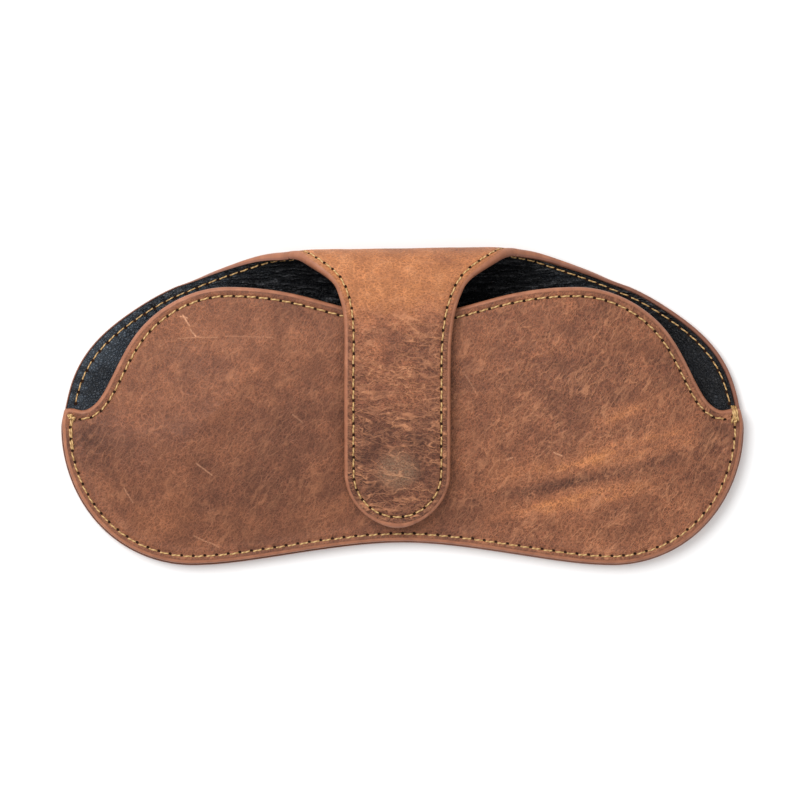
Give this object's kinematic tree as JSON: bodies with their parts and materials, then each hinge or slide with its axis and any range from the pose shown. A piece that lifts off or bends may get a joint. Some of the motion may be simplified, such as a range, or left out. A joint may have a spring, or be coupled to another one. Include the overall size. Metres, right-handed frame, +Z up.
{
  "type": "sunglasses case",
  "caption": "Soft leather sunglasses sleeve with a lined pocket, contrast stitching round every edge and a tongue that folds over the mouth onto a hidden magnet.",
  "frame": {"origin": "on the resting face of the back panel, on the middle line, midway between the bottom seam and the fold", "axes": "+X across the case to the right seen from the front, +Y from the bottom seam to the fold of the tongue, +Z up out of the front panel"},
  "size_m": [0.175, 0.0818, 0.0203],
  "materials": {
    "tan_leather": "matt waxed, pulled up at the bends",
    "black_lining": "grained, semi-gloss",
    "gold_thread": "waxed",
    "magnet_steel": "plated"
  },
  "bodies": {
    "case": {"back_leather": "tan_leather", "back_lining": "black_lining", "front_leather": "tan_leather", "front_lining": "black_lining", "front_magnet": "magnet_steel", "rim_thread": "gold_thread", "mouth_thread": "gold_thread", "back_edge_thread_left": "gold_thread", "back_edge_thread_right": "gold_thread", "corner_tack_left": "gold_thread", "corner_tack_right": "gold_thread"},
    "fold": {"fold_leather": "tan_leather", "fold_lining": "black_lining", "fold_thread": "gold_thread"},
    "flap": {"flap_leather": "tan_leather", "flap_lining": "black_lining", "flap_magnet": "magnet_steel", "flap_thread": "gold_thread"}
  },
  "joints": [
    {"name": "fold_foot", "type": "hinge", "parent": "case", "child": "fold", "pos_m": [0, 0.03986, 0.00577], "axis": [-1, 0, 0], "range_deg": [0, 70]},
    {"name": "fold_crown", "type": "hinge", "parent": "fold", "child": "flap", "pos_m": [0, 0.03899, 0.01574], "axis": [-1, 0, 0], "range_deg": [0, 70]}
  ],
  "couplings": [
    {"joint": "fold_crown", "follows": "fold_foot", "ratio": 1}
  ]
}
